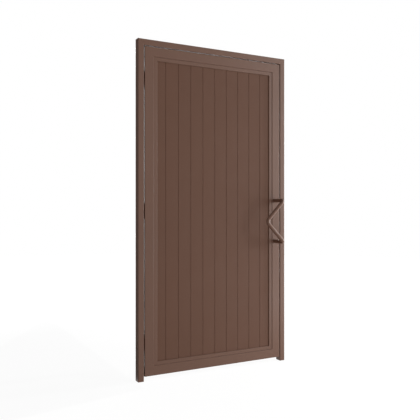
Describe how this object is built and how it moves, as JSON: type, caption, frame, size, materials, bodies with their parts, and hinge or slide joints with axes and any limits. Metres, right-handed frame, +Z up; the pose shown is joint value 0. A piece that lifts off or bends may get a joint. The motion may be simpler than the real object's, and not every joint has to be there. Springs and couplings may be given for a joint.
{
  "type": "pedestrian gate",
  "caption": "Pedestrian gate with a boarded leaf hinged in a tube portal and a V-shaped tube pull on each face.",
  "frame": {"origin": "centre of the underside of the hinge post's foot, on the ground", "axes": "+X runs from the hinge post to the lock post, -Y is the front face with the pull that shows, +Z is up"},
  "size_m": [1.08, 0.3012, 2.1],
  "materials": {
    "frame_paint": "chocolate brown powder coat, satin",
    "board_paint": "chocolate brown powder coat, matt",
    "pull_paint": "chocolate brown powder coat, satin",
    "hinge_paint": "chocolate brown powder coat, satin",
    "hinge_pin_steel": "turned steel"
  },
  "bodies": {
    "portal": {"hinge_post": "frame_paint", "lock_post": "frame_paint", "head": "frame_paint", "hinge_post_foot": "frame_paint", "lock_post_foot": "frame_paint", "upper_hinge_post_half": "hinge_paint", "middle_hinge_post_half": "hinge_paint", "lower_hinge_post_half": "hinge_paint", "upper_hinge_pin": "hinge_pin_steel", "middle_hinge_pin": "hinge_pin_steel", "lower_hinge_pin": "hinge_pin_steel"},
    "leaf": {"hinge_stile": "frame_paint", "lock_stile": "frame_paint", "top_rail": "frame_paint", "bottom_rail": "frame_paint", "front_bead_hinge_side": "frame_paint", "front_bead_lock_side": "frame_paint", "front_bead_top": "frame_paint", "front_bead_bottom": "frame_paint", "back_bead_hinge_side": "frame_paint", "back_bead_lock_side": "frame_paint", "back_bead_top": "frame_paint", "back_bead_bottom": "frame_paint", "board_01": "board_paint", "board_02": "board_paint", "board_03": "board_paint", "board_04": "board_paint", "board_05": "board_paint", "board_06": "board_paint", "board_07": "board_paint", "board_08": "board_paint", "board_09": "board_paint", "board_10": "board_paint", "front_pull": "pull_paint", "back_pull": "pull_paint", "upper_hinge_leaf_half": "hinge_paint", "middle_hinge_leaf_half": "hinge_paint", "lower_hinge_leaf_half": "hinge_paint"}
  },
  "joints": [
    {"name": "leaf_swing", "type": "hinge", "parent": "portal", "child": "leaf", "pos_m": [0.0215, 0.04, 1], "axis": [0, 0, 1], "range_deg": [0, 110]}
  ]
}
